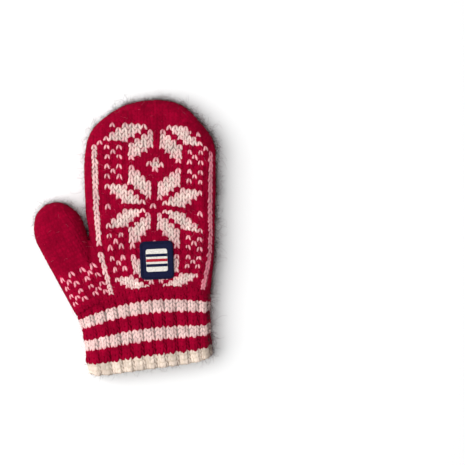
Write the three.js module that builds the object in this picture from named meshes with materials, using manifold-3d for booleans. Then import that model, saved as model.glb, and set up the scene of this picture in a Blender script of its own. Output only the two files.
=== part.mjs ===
// A knitted mitten for the right hand, lying on its palm: a ribbed cuff, a flattened hand that is
// rounded off at the fingertips, a thumb with its gusset, and a woven label on the back.
// Millimetres. X runs across the hand with the thumb on the -X side, Y runs from the cuff to the
// fingertips and Z is up. Every piece is first placed from the middle of the seam that joins the cuff
// to the hand, and the whole group is then moved so that its box stands on the origin.

import * as THREE from "three";
import { ParametricGeometry } from "three/addons/geometries/ParametricGeometry.js";
import { mergeVertices } from "three/addons/utils/BufferGeometryUtils.js";
import Module from "manifold-3d";

// Driving dimensions
const HAND_LENGTH = 160;
const HAND_WIDTH = 111;
const HAND_THICKNESS = 22;
const THUMB_LENGTH = 43;
const THUMB_WIDTH = 43.4;
const THUMB_THICKNESS = 19;
const THUMB_LEAN = 28.7;
const CROTCH_HEIGHT = 43;
const CUFF_LENGTH = 65.5;
const CUFF_THICKNESS = 20.5;
const MOUTH_TILT = 7.7;
const MOUTH_ROUNDING = 8.5;
const SEAM_BOW = 10.3;
const SEAM_PEAK = 1.7;
const WALL = 3.5;
const CROWN = 2;
const RIB_COUNT = 25;
const RIB_DEPTH = 1.3;
const LABEL_WIDTH = 27;
const LABEL_HEIGHT = 31;
const LABEL_THICKNESS = 1.1;
const LABEL_CORNER = 3;
const LABEL_RISE = 25.2;
const LABEL_TURN = 2.5;
const GAP = 0.3;

// Steps of the faceted surfaces
const HAND_STEPS = { round: 44, along: 36 };
const HOLLOW_STEPS = { round: 32, along: 22 };
const THUMB_STEPS = { round: 30, along: 15 };
const THUMB_HOLLOW_STEPS = { round: 24, along: 11 };
const RIB_STEPS = 4;
const CUFF_RINGS = 6;
const SEAM_STEPS = 20;

// The hand's two edges. along is a share of HAND_LENGTH, left and right are shares of half HAND_WIDTH.
const HAND_ROWS = [
  { along: -0.25, left: -1.128, right: 0.9 },
  { along: -0.115, left: -1.128, right: 0.905 },
  { along: 0, left: -1.04, right: 0.915 },
  { along: 0.14, left: -0.975, right: 0.955 },
  { along: 0.29, left: -0.935, right: 0.977 },
  { along: 0.4, left: -0.98, right: 0.98 },
  { along: 0.5, left: -0.995, right: 0.99 },
  { along: 0.65, left: -1.007, right: 0.991 },
  { along: 0.75, left: -0.98, right: 0.98 },
  { along: 0.82, left: -0.92, right: 0.895 },
  { along: 0.88, left: -0.786, right: 0.753 },
  { along: 0.93, left: -0.595, right: 0.627 },
  { along: 0.965, left: -0.42, right: 0.5 },
  { along: 0.99, left: -0.18, right: 0.324 },
  { along: 1, left: 0.083, right: 0.083 },
];

// The thumb's half width and how far it bends towards the hand, as shares of half THUMB_WIDTH.
// along is a share of THUMB_LENGTH, from the crotch to the thumb's tip.
const THUMB_ROWS = [
  { along: -0.1, half: 0.93, bend: 0 },
  { along: 0.27, half: 0.985, bend: 0.06 },
  { along: 0.44, half: 0.995, bend: 0.08 },
  { along: 0.65, half: 0.88, bend: 0.09 },
  { along: 0.81, half: 0.7, bend: 0.1 },
  { along: 0.93, half: 0.44, bend: 0.1 },
  { along: 1, half: 0, bend: 0.1 },
];

// The cuff's two edges. down is a share of its length, left and right are shares of half HAND_WIDTH.
const CUFF_ROWS = [
  { down: 0, left: -1.128, right: 0.903 },
  { down: 0.13, left: -1.092, right: 0.908 },
  { down: 0.475, left: -1.01, right: 0.908 },
  { down: 0.83, left: -0.972, right: 0.927 },
  { down: 1, left: -0.93, right: 0.945 },
];

// The line where the gusset leaves the hand, from the crotch down to the seam: rise is a share of
// CROTCH_HEIGHT above the seam, across a share of half HAND_WIDTH.
const GUSSET_LINE = [
  { rise: 0.72, across: -0.78 },
  { rise: -0.02, across: -0.58 },
  { rise: -0.6, across: -0.42 },
];

// Where the seam's bow is highest, and where the label sits, as shares of half HAND_WIDTH
const SEAM_PEAK_ACROSS = 0.27;
const LABEL_ACROSS = 0.106;

const halfHand = HAND_WIDTH / 2;
const lean = THREE.MathUtils.degToRad(THUMB_LEAN);
const thumbAlong = new THREE.Vector2(-Math.sin(lean), Math.cos(lean));
const thumbAcross = new THREE.Vector2(Math.cos(lean), Math.sin(lean));

const wasm = await Module();
wasm.setup();

// Solids and geometries

function toSolid(geometry) {
  geometry.deleteAttribute("normal");
  geometry.deleteAttribute("uv");
  const merged = mergeVertices(geometry);
  const corners = merged.index.array;
  const kept = [];
  for (let i = 0; i < corners.length; i += 3) {
    const [a, b, c] = [corners[i], corners[i + 1], corners[i + 2]];
    if (a !== b && b !== c && c !== a) kept.push(a, b, c);
  }
  const vertProperties = new Float32Array(merged.attributes.position.array);
  return new wasm.Manifold(
    new wasm.Mesh({ numProp: 3, vertProperties, triVerts: new Uint32Array(kept) }),
  );
}

function toGeometry(solid) {
  const mesh = solid.getMesh();
  const geometry = new THREE.BufferGeometry();
  geometry.setAttribute("position", new THREE.BufferAttribute(mesh.vertProperties, 3));
  geometry.setIndex(new THREE.BufferAttribute(mesh.triVerts, 1));
  geometry.computeVertexNormals();
  return geometry;
}

// Everything above a plan outline, from well below the pieces to well above them
function column(points) {
  const reach = 3 * HAND_THICKNESS;
  const outline = new THREE.Shape(points);
  const geometry = new THREE.ExtrudeGeometry(outline, { depth: 2 * reach, bevelEnabled: false });
  return toSolid(geometry.translate(0, 0, -reach));
}

// Sections

// A point of a flattened tube's section: straight below, crowned above, half round at both edges.
// turn runs from 0 to 1 at an even pace round it, from the middle of the flat underside to the left.
function slabPoint(turn, { left, right, half, middle, crown }) {
  const flat = Math.max(right - left - 2 * half, 0);
  const bend = Math.PI * half;
  const centre = (left + right) / 2;
  const walked = (turn * 2 * (flat + bend) + flat / 2) % (2 * (flat + bend));
  const swing = (distance) => (half > 0 ? distance / half : 0);
  let x, z;
  if (walked <= flat) {
    x = centre + flat / 2 - walked;
    z = -half;
  } else if (walked <= flat + bend) {
    x = centre - flat / 2 - half * Math.sin(swing(walked - flat));
    z = -half * Math.cos(swing(walked - flat));
  } else if (walked <= 2 * flat + bend) {
    x = centre - flat / 2 + (walked - flat - bend);
    z = half;
  } else {
    x = centre + flat / 2 + half * Math.sin(swing(walked - 2 * flat - bend));
    z = half * Math.cos(swing(walked - 2 * flat - bend));
  }
  const share = right > left ? (2 * (x - centre)) / (right - left) : 0;
  const lift = half > 0 ? (crown * (1 - share * share) * Math.max(z, 0)) / half : 0;
  return { x, z: middle + z + lift };
}

// How far a closed end has rounded off, from 1 at a full section to 0 at the tip
function roundingOff(toTip, radius) {
  const share = THREE.MathUtils.clamp(1 - toTip / radius, 0, 1);
  return Math.sqrt(1 - share * share);
}

// The hand's flattened tube: its two edges follow a smooth curve through the rows

const handEdges = new THREE.CatmullRomCurve3(
  HAND_ROWS.map(({ along, left, right }) => new THREE.Vector3(left, right, along)),
  false,
  "catmullrom",
);

function handSection(share, inset) {
  const { x: left, y: right, z: along } = handEdges.getPoint(share);
  const reach = halfHand - inset;
  const full = HAND_THICKNESS / 2 - inset;
  const length = HAND_LENGTH - inset;
  const closing = roundingOff(length * (1 - along), full);
  return {
    y: along * length,
    left: left * reach,
    right: right * reach,
    half: full * closing,
    middle: HAND_THICKNESS / 2,
    crown: CROWN * closing,
  };
}

// The share along the hand's curve at a height above the seam
function handShareAt(height) {
  let [low, high] = [0, 1];
  while (high - low > 1e-6) {
    const middle = (low + high) / 2;
    if (handSection(middle, 0).y < height) low = middle;
    else high = middle;
  }
  return low;
}

// A closed tube with a flat cap at its root and a rounded tip
function cappedTube({ round, along }, sectionAt, place) {
  const rings = along + 1;
  const shape = (turn, rise, target) => {
    const ring = Math.round(rise * rings);
    const section = sectionAt(Math.max(ring - 1, 0) / along);
    if (ring === 0) place((section.left + section.right) / 2, section.middle, section, target);
    else {
      const { x, z } = slabPoint(turn, section);
      place(x, z, section, target);
    }
  };
  return toSolid(new ParametricGeometry(shape, round, rings));
}

function handTube(inset, steps) {
  const place = (x, z, section, target) => target.set(x, section.y, z);
  return cappedTube(steps, (share) => handSection(share, inset), place);
}

// The thumb's tube leaves the hand at the crotch, and its root runs on inside the hand to the seam

const crotch = new THREE.Vector2(handSection(handShareAt(CROTCH_HEIGHT), 0).left, CROTCH_HEIGHT);
const thumbRoot = (CROTCH_HEIGHT + 2 * SEAM_BOW + CUFF_THICKNESS) / Math.cos(lean);
const thumbCentre = crotch
  .clone()
  .addScaledVector(thumbAcross, (-THUMB_ROWS[0].half * THUMB_WIDTH) / 2);

const thumbEdges = new THREE.CatmullRomCurve3(
  [{ ...THUMB_ROWS[0], along: -thumbRoot / THUMB_LENGTH }, ...THUMB_ROWS].map(
    ({ along, half, bend }) => new THREE.Vector3(half, bend, along),
  ),
  false,
  "centripetal",
);

function thumbSection(share, inset) {
  const { x: halfShare, y: bend, z: along } = thumbEdges.getPoint(share);
  const reach = Math.max(halfShare, 0) * (THUMB_WIDTH / 2 - inset);
  const centre = (bend * THUMB_WIDTH) / 2;
  const thickness = THREE.MathUtils.lerp(
    HAND_THICKNESS,
    THUMB_THICKNESS,
    THREE.MathUtils.smoothstep(along, 0, 1),
  );
  const full = thickness / 2 - inset;
  const length = THUMB_LENGTH - inset;
  const closing = roundingOff(length * (1 - along), full);
  return {
    y: along * length,
    left: centre - reach,
    right: centre + reach,
    half: full * closing,
    middle: thickness / 2,
    crown: CROWN * closing,
  };
}

function thumbTube(inset, steps) {
  const place = (x, z, section, target) => {
    const plan = thumbCentre
      .clone()
      .addScaledVector(thumbAcross, x)
      .addScaledVector(thumbAlong, section.y);
    target.set(plan.x, plan.y, z);
  };
  return cappedTube(steps, (share) => thumbSection(share, inset), place);
}

// Seam, mouth and gusset line

function seamAt(x) {
  const away = x / halfHand - SEAM_PEAK_ACROSS;
  return SEAM_PEAK - SEAM_BOW * away * away;
}

// The mouth's edge is tilted and lifts a little at its two corners, where across is -1 and 1
function mouthAt(x, across) {
  return -CUFF_LENGTH + (MOUTH_TILT * x) / halfHand + MOUTH_ROUNDING * across ** 6;
}

function aboveSeam() {
  const side = HAND_WIDTH + THUMB_WIDTH;
  const points = [];
  for (let i = 0; i <= SEAM_STEPS; i += 1) {
    const x = THREE.MathUtils.lerp(-side, side, i / SEAM_STEPS);
    points.push(new THREE.Vector2(x, seamAt(x)));
  }
  const top = 2 * HAND_LENGTH;
  points.push(new THREE.Vector2(side, top), new THREE.Vector2(-side, top));
  return column(points);
}

// The side of the gusset line that belongs to the thumb, moved across by shift
function thumbSide(shift) {
  const side = -HAND_WIDTH - THUMB_WIDTH;
  const line = GUSSET_LINE.map(
    ({ rise, across }) => new THREE.Vector2(across * halfHand + shift, rise * CROTCH_HEIGHT),
  );
  const between = crotch
    .clone()
    .add(new THREE.Vector2(-Math.tan(lean / 2) * HAND_LENGTH + shift, HAND_LENGTH));
  const points = [
    new THREE.Vector2(side, line.at(-1).y),
    ...line.toReversed(),
    new THREE.Vector2(crotch.x + shift, crotch.y),
    between,
    new THREE.Vector2(side, between.y),
  ];
  return column(points);
}

// Hand and thumb are cut from one hollow shell, so that the two hollows open into each other

function shell() {
  const outside = handTube(0, HAND_STEPS).add(thumbTube(0, THUMB_STEPS));
  const inside = handTube(WALL, HOLLOW_STEPS).add(thumbTube(WALL, THUMB_HOLLOW_STEPS));
  return outside.subtract(inside).intersect(aboveSeam());
}

// The cuff is a ribbed tube between the seam and the mouth

const cuffEdges = new THREE.CatmullRomCurve3(
  CUFF_ROWS.map(({ down, left, right }) => new THREE.Vector3(left, right, down)),
  false,
  "catmullrom",
);

function ribDepth(turn) {
  const crest = Math.cos(2 * Math.PI * RIB_COUNT * turn);
  return RIB_DEPTH * Math.max(crest, 0) ** 2;
}

function cuffPoint(turn, share, inset, target) {
  const { x: left, y: right, z: down } = cuffEdges.getPoint(share);
  const depth = inset + ribDepth(turn);
  const { x, z } = slabPoint(turn, {
    left: left * halfHand + depth,
    right: right * halfHand - depth,
    half: CUFF_THICKNESS / 2 - depth,
    middle: CUFF_THICKNESS / 2,
    crown: CROWN,
  });
  const across = (2 * x) / halfHand - left - right;
  const mouth = mouthAt(x, across / (right - left));
  target.set(x, THREE.MathUtils.lerp(seamAt(x) - GAP, mouth, down), z);
}

function cuffTube() {
  // The wall's profile runs up the outside, across the seam's rim and back down the inside
  const stations = 2 * CUFF_RINGS;
  const shape = (turn, round, target) => {
    const station = Math.round(round * stations) % stations;
    const outside = station < CUFF_RINGS;
    const ring = outside ? CUFF_RINGS - 1 - station : station - CUFF_RINGS;
    cuffPoint(turn, ring / (CUFF_RINGS - 1), outside ? 0 : WALL, target);
  };
  return toSolid(new ParametricGeometry(shape, RIB_COUNT * RIB_STEPS, stations));
}

// The label lies on the back of the hand

function labelGeometry() {
  const [w, h, r] = [LABEL_WIDTH / 2, LABEL_HEIGHT / 2, LABEL_CORNER];
  const outline = new THREE.Shape();
  outline.absarc(w - r, h - r, r, 0, Math.PI / 2);
  outline.absarc(r - w, h - r, r, Math.PI / 2, Math.PI);
  outline.absarc(r - w, r - h, r, Math.PI, 1.5 * Math.PI);
  outline.absarc(w - r, r - h, r, 1.5 * Math.PI, 2 * Math.PI);
  return new THREE.ExtrudeGeometry(outline, {
    depth: LABEL_THICKNESS,
    bevelEnabled: false,
    curveSegments: 5,
  });
}

// Materials

const red = new THREE.MeshStandardMaterial({ color: 0x9c0a2c, roughness: 0.95, metalness: 0 });
const darkRed = new THREE.MeshStandardMaterial({ color: 0x8c0826, roughness: 0.95, metalness: 0 });
const cream = new THREE.MeshStandardMaterial({ color: 0xe8dccd, roughness: 0.95, metalness: 0 });
const navy = new THREE.MeshStandardMaterial({ color: 0x1f2440, roughness: 0.8, metalness: 0 });

// The assembled mitten

function piece(name, geometry, material) {
  const mesh = new THREE.Mesh(geometry, material);
  mesh.name = name;
  return mesh;
}

const body = shell();
const hand = piece("hand", toGeometry(body.subtract(thumbSide(GAP))), red);
const thumb = piece("thumb", toGeometry(body.intersect(thumbSide(0))), darkRed);
const cuff = piece("cuff", toGeometry(cuffTube()), cream);

const label = piece("label", labelGeometry(), navy);
label.position.set(LABEL_ACROSS * halfHand, LABEL_RISE, HAND_THICKNESS + CROWN + GAP);
label.rotation.z = THREE.MathUtils.degToRad(LABEL_TURN);

const mitten = new THREE.Group();
mitten.add(hand, thumb, cuff, label);

const box = new THREE.Box3().setFromObject(mitten);
const middle = box.getCenter(new THREE.Vector3());
mitten.position.set(-middle.x, -middle.y, -box.min.z);

export default mitten;
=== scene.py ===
"""A knitted wool mitten for the right hand, lying on its palm and seen from straight above.

Lengths are millimetres from the middle of the seam between the cuff and the hand: X runs across
with the thumb on the -X side, Y runs to the fingertips and Z is up. to_frame() moves them into
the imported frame. Columns and rows are those of the knitting: column 0 is the middle of the back,
row 0 the middle of its star, and rows count down towards the cuff. A side is 1 for the back of
the mitten and -1 for its palm.
"""

import math
from functools import partial

import bmesh
import bpy
import numpy as np
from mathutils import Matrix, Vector
from mathutils.geometry import delaunay_2d_cdt


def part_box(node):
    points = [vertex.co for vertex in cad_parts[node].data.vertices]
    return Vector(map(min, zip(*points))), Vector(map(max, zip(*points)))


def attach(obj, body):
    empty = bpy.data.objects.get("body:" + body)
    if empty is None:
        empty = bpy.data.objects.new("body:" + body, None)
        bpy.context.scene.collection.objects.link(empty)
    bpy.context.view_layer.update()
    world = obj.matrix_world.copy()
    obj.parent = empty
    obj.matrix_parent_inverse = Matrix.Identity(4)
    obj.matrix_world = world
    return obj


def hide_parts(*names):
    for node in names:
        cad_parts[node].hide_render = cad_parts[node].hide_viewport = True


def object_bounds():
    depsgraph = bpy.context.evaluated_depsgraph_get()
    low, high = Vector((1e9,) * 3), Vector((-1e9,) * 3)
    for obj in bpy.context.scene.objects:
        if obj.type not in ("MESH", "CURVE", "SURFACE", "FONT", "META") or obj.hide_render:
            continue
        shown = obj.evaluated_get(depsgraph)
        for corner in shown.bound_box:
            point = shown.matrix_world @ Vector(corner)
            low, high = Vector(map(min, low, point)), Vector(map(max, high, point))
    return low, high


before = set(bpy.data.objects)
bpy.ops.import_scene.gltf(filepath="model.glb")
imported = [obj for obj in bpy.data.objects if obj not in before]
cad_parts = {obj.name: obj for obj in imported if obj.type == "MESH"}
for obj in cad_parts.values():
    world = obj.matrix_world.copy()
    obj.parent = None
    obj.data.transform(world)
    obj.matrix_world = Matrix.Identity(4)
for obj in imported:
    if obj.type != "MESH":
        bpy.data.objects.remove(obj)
cad_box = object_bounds()
random = np.random.default_rng(7)

# The hand's two edges: share of its length, then shares of half its width
HAND_EDGES = [
    (-0.25, -1.128, 0.9), (-0.115, -1.128, 0.905), (0, -1.04, 0.915), (0.14, -0.975, 0.955),
    (0.29, -0.935, 0.977), (0.4, -0.98, 0.98), (0.5, -0.995, 0.99), (0.65, -1.007, 0.991),
    (0.75, -0.98, 0.98), (0.82, -0.92, 0.895), (0.88, -0.786, 0.753), (0.93, -0.595, 0.627),
    (0.965, -0.42, 0.5), (0.99, -0.18, 0.324), (1, 0.083, 0.083),
]
# How far right that edge comes at the most, and half the hand's thickness
HAND_RIGHT = 0.9919
HAND_HALF = 11.0

# The thumb: share of its length from the crotch, half width and bend as shares of THUMB_REACH
THUMB_EDGES = [
    (-2.23, 0.93, 0),
    (-0.1, 0.93, 0),
    (0.27, 0.985, 0.06),
    (0.44, 0.995, 0.08),
    (0.65, 0.88, 0.09),
    (0.81, 0.7, 0.1),
    (0.93, 0.44, 0.1),
    (1, 0, 0.1),
]
THUMB_LENGTH = 43.0
THUMB_REACH = 21.7
THUMB_HALF = 9.5
THUMB_LEAN = math.radians(28.7)
CROTCH_HEIGHT = 43.0

# The cuff's two edges: share of its length, then shares of half the hand's width
CUFF_EDGES = [
    (0, -1.128, 0.903),
    (0.13, -1.092, 0.908),
    (0.475, -1.01, 0.908),
    (0.83, -0.972, 0.927),
    (1, -0.93, 0.945),
]
CUFF_LENGTH = 65.5
CUFF_HALF = 10.25
MOUTH_TILT = 7.7
# How much shorter the cuff is at its mouth's corners, and how tightly they are rounded
MOUTH_LEFT_ROUNDING = 3.2
MOUTH_RIGHT_ROUNDING = 4.5
MOUTH_POWER = 10
SEAM_BOW = 10.3
SEAM_PEAK = 1.7
SEAM_PEAK_ACROSS = 0.27
RIBS = 25
RIB_DEPTH = 1.5
# How far the ribs are turned round the cuff, as a share of one rib
RIB_SHIFT = 0.19
# The share of the cuff's length over which it grows out of the hand, and its ribs begin
CUFF_BLEND = 0.14
# How deep the ribs are on the cuff's left edge, and how far from it they begin and end to deepen,
# as shares of a turn
LEFT_RIB_DEPTH = 0.35
LEFT_RIB_FADE = (0.03, 0.15)
CROWN = 2.0
WALL = 3.2
GAP = 0.3

# Where the gusset leaves the hand: height above the seam, then share of half the hand's width
GUSSET_LINE = [(31.0, -0.78), (-0.9, -0.58), (-25.8, -0.42)]

# The knitting's rows on the back: row and height of its middle
ROW_HEIGHTS = [
    (-17, 135.7),
    (-9, 105.0),
    (-5, 89.0),
    (0, 70.1),
    (5, 52.5),
    (6, 48.7),
    (9, 33.6),
    (10, 29.0),
    (12, 20.3),
    (14, 13.0),
    (17, 4.4),
    (18, 1.3),
]
FIRST_ROW, LAST_ROW = -25, 18
SEAM_ROW_PITCH = 3.4
TIP_ROW_PITCH = 3.9
# Where the rows turn over the tip, and where the back's and the palm's own stitches end
TIP_TURN_HEIGHT = 149.0
TIP_LIMIT = 158.5
# The rows between which the knitting takes on the bow of the seam
STRAIGHT_ROW, BOWED_ROW = 11, 17
# How far a row lies below its middle at some seven columns to the left and to the right
LEFT_DROP = [(-14, -2.7), (-12, -3.9), (-10, -3.4), (-6, -2.8), (0, 0.25), (6, 3.2), (10, 2.4), (14, 2.7)]
RIGHT_DROP = [(-12, 1.7), (-10, 2.6), (-8, 2.9), (-6, 2.6), (0, 5.9), (6, 5.9), (12, 0)]
DROP_COLUMN = 7.5
# The power by which that grows from the middle column, and its limits upwards and downwards
DROP_POWER = 1.4
DROP_LIMITS = (0.85, 1.35)
# The middle column and the pitch of the columns on its left and right, by height
COLUMN_MIDDLE = [(0, 5.4), (15, 4.7), (40, 3.6), (70, 3.2), (100, 4.5), (135, 6.1)]
LEFT_PITCH = [(-5, 3.7), (0, 3.85), (15, 4.13), (31, 4.55), (45, 4.62), (70, 4.8), (105, 5.03), (131, 5.33)]
RIGHT_PITCH = [(-5, 3.7), (0, 3.85), (15, 4.3), (31, 4.7), (50, 4.8), (118, 4.8), (133, 5.0)]
# Beyond this column on the right the pitch is another one
OUTER_COLUMN = 4
OUTER_PITCH = RIGHT_PITCH[:5] + [(105, 4.6), (118, 4.45), (130, 3.6)]
EDGE_COLUMN = 10
# The band of plain columns that runs round the outline, by its angles from the top of the edge
BAND_LEFT = (math.radians(24), math.radians(131))
BAND_RIGHT = (math.radians(49), math.radians(156))
BAND_COLUMNS = 4
BAND_ROW_PITCH = 3.95

# The thumb's knitting: rows counted from the gusset's upper motif, and columns from the axis
THUMB_ROWS = [(-16, 104.0), (-1, 46.1), (0, 42.0), (2, 34.0), (3, 30.2), (9, 9.8)]
THUMB_AXIS = -44.5
THUMB_FIRST_COLUMN = 2.0
THUMB_PITCH = 5.0
# How much further right than the thumb the gusset's knitting reaches before it turns under
GUSSET_REACH = 60.0
# On the gusset's back its columns lie this much further right and, column by column, higher
GUSSET_RIGHT = 1.3
GUSSET_LIFT = [(-4, 1.0), (-2, 1.35), (0, 0.5), (1, -1.0), (2, -1.95), (3, -2.5)]
# The share of a lowering at row 0 and its growth by rows, and the rows over which all of it begins
LOWERING_SHARE, LOWERING_GROWTH = 0.55, 0.16
GUSSET_FADE = 4

# The cuff's bands from the seam to the mouth: share where each ends, and its yarn
CUFF_BANDS = [(0.125, "red"), (0.29, "cream"), (0.475, "red"), (0.64, "cream"), (0.815, "red"), (1, "edge")]
ROWS_PER_BAND = 3
RIB_COLUMN = 0.415

# How matted the cream yarn looks on the hand, and how far a red stitch between cream ones is raised
CREAM_MATTED = 0.24
GAP_LIFT = 0.4
# How pink the lines at the two edges are, and how pink a rim, an apex and feet are at the most
LINE_PINK = {EDGE_COLUMN: 2.0, -EDGE_COLUMN: 0.6}
FRINGE = (0.6, 0.6, 0.8)

# How much further down the felt's bands end than the stitches' bands, as a share of the cuff
UNDER_SHIFT = {"red": 0.03, "cream": -0.01, "edge": 0}
# How matted each yarn looks in the cuff
CUFF_MATTED = {"red": 1.0, "cream": 0.34, "edge": 1.0}
# How a band's last red stitches are raised and lengthened over the cream ones below them
CUFF_LIFT = 0.45
CUFF_FOOT = 0.4
CUFF_LAST_MATTED = 0.7

# The woven label
LABEL_ACROSS = 0.106
LABEL_RISE = 25.2
LABEL_TURN = math.radians(2.5)
LABEL_SIZE = (27.0, 31.0)
LABEL_CORNER = 3.0
LABEL_BOTTOM = 24.0
LABEL_TOP = 25.3
LABEL_COLOURS = {
    "navy": (0.008, 0.010, 0.04),
    "cream": (0.78, 0.74, 0.68),
    "red": (0.42, 0.012, 0.03),
}
# The cream field's margins and corner, and the length and thickness of the stripes across it
FIELD_MARGINS = (9.0, 12.0)
FIELD_CORNER = 1.8
STRIPE_MARGIN = 9.4
STRIPE_THICKNESS = 2.4
STRIPE_PITCH = 4.2
# How far apart the border's satin stitches are
SATIN_PITCH = 0.62

# Yarns, as linear colours
YARNS = {
    "red": (0.27, 0.0008, 0.02),
    "cream": (0.75, 0.58, 0.53),
    "edge": (0.69, 0.57, 0.48),
    "fringe": (0.74, 0.17, 0.26),
}
# Colours of the felt under the stitches. The cream one is far darker than the cream yarn: painted shade in
# the holes and grooves between cream stitches
UNDER_YARNS_AND_SHADE = {
    "red": (0.24, 0.0008, 0.018),
    "cream": (0.36, 0.29, 0.27),
    "edge": (0.60, 0.49, 0.39),
}
# How dark the cuff's inside is against its yarns: painted shade inside the mouth
LINING_PAINTED_SHADE = 0.7

# Where the knitting lies against the CAD surface
FELT_DEPTH = 0.4
THUMB_FELT_DEPTH = 0.28
PATCH_FELT_DEPTH = 0.7
CUFF_FELT_DEPTH = 0.35
STITCH_DEPTH = 0.55
UNDERSIDE_LIFT = 1.1
# The height over which the hand and the thumb run into each other
BLEND = 2.5
# How far outside an outline a point still counts as on it
ON_EDGE = -0.05


# Where the local origin is in the frame


def box_mm(node):
    low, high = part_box(node)
    return np.array(low) * 1000, np.array(high) * 1000


label_low, label_high = box_mm("label")
label_middle = (label_low + label_high) / 2
hand_high = box_mm("hand")[1]
half_hand = (hand_high[0] - label_middle[0]) / (HAND_RIGHT - LABEL_ACROSS)
origin = np.array([label_middle[0] - LABEL_ACROSS * half_hand, label_middle[1] - LABEL_RISE, 0])
hand_length = hand_high[1] - origin[1]


def to_frame(points):
    return (np.asarray(points) + origin) / 1000


# Small helpers for numbers, points and lines


def table(pairs, at):
    return np.interp(at, [a for a, _ in pairs], [b for _, b in pairs])


def mixed(low, high, share):
    return low + (high - low) * share


def eased(share):
    """A smooth step from 0 to 1."""
    share = np.clip(share, 0, 1)
    return share * share * (3 - 2 * share)


def unit(vectors):
    return vectors / np.maximum(np.linalg.norm(vectors, axis=-1, keepdims=True), 1e-9)


def left_of(vectors):
    """Plan vectors turned a quarter to the left."""
    return np.stack([-vectors[..., 1], vectors[..., 0]], axis=-1)


def beside(line):
    """Directions to the left of a line at each of its points."""
    return unit(left_of(np.gradient(line, axis=0)))


def raised(plan, z):
    """Plan points with a height."""
    return np.concatenate([plan, z[..., None]], axis=-1)


def closed(line):
    return np.vstack([line, line[:1]])


# How many points a curve has between two knots, and how far apart an outline's points are
CURVE_STEPS = 24
OUTLINE_STEP = 1.0


def smooth_curve(knots, steps=CURVE_STEPS, even=True):
    """A Catmull-Rom curve through the knots, evenly spaced or by the root of their distance."""
    knots = np.array(knots, float)
    all_knots = np.vstack([2 * knots[0] - knots[1], knots, 2 * knots[-1] - knots[-2]])
    curve = []
    for a, b, c, d in zip(all_knots, all_knots[1:], all_knots[2:], all_knots[3:]):
        gaps = [1.0 if even else np.linalg.norm(q - p) ** 0.5 for p, q in ((a, b), (b, c), (c, d))]
        before, here, after = gaps
        start = ((b - a) / before - (c - a) / (before + here) + (c - b) / here) * here
        end = ((c - b) / here - (d - b) / (here + after) + (d - c) / after) * here
        for t in np.linspace(0, 1, steps, endpoint=False):
            from_start = b * (2 * t**3 - 3 * t**2 + 1) + start * (t**3 - 2 * t**2 + t)
            curve.append(from_start + c * (3 * t**2 - 2 * t**3) + end * (t**3 - t**2))
    return np.array(curve + [knots[-1]])


def resampled(line, step):
    """The same line with points at an even pace."""
    walked = np.concatenate([[0], np.cumsum(np.linalg.norm(np.diff(line, axis=0), axis=1))])
    count = max(int(round(walked[-1] / step)), 2)
    at = np.linspace(0, walked[-1], count + 1)
    return np.column_stack([np.interp(at, walked, line[:, k]) for k in range(line.shape[1])])


# Outlines


thumb_along = np.array([-math.sin(THUMB_LEAN), math.cos(THUMB_LEAN)])
thumb_across = np.array([math.cos(THUMB_LEAN), math.sin(THUMB_LEAN)])

hand_curve = smooth_curve([(left, right, along) for along, left, right in HAND_EDGES])
hand_ys = np.maximum.accumulate(hand_curve[:, 2] * hand_length)
hand_lefts = hand_curve[:, 0] * half_hand
hand_rights = hand_curve[:, 1] * half_hand
left_side = np.column_stack([hand_lefts, hand_ys])
right_side = np.column_stack([hand_rights, hand_ys])
hand_outline = resampled(np.vstack([left_side, right_side[::-1]]), OUTLINE_STEP)

crotch = np.array([np.interp(CROTCH_HEIGHT, hand_ys, hand_lefts), CROTCH_HEIGHT])
thumb_centre = crotch - thumb_across * THUMB_EDGES[0][1] * THUMB_REACH
thumb_curve = smooth_curve([(half, bend, along) for along, half, bend in THUMB_EDGES], even=False)
thumb_rises = np.maximum.accumulate(thumb_curve[:, 2] * THUMB_LENGTH)
thumb_halves = np.maximum(thumb_curve[:, 0], 0) * THUMB_REACH
thumb_bends = thumb_curve[:, 1] * THUMB_REACH


def thumb_plan(across, rise):
    """Plan places given across and along the thumb from where its axis meets the crotch."""
    return thumb_centre + across[..., None] * thumb_across + rise[..., None] * thumb_along


thumb_left = thumb_plan(thumb_bends - thumb_halves, thumb_rises)
thumb_right = thumb_plan(thumb_bends + thumb_halves, thumb_rises)
thumb_outline = resampled(np.vstack([thumb_left, thumb_right[::-1]]), OUTLINE_STEP)


def seam_height(x):
    return SEAM_PEAK - SEAM_BOW * (x / half_hand - SEAM_PEAK_ACROSS) ** 2


def above_seam(points):
    return points[:, 1] > seam_height(points[:, 0])


def across_share(x):
    """0 at the hand's left edge and 1 at its right edge."""
    return np.clip(0.5 + x / half_hand / 2, 0, 1)


def gusset_x(y):
    """Where the gusset line is at a height, from the crotch down to the seam."""
    ys = [line_y for line_y, _ in reversed(GUSSET_LINE)] + [CROTCH_HEIGHT]
    xs = [across * half_hand for _, across in reversed(GUSSET_LINE)] + [crotch[0]]
    return np.interp(y, ys, xs)


# How many points are measured against an outline at once
BLOCK = 3000


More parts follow.
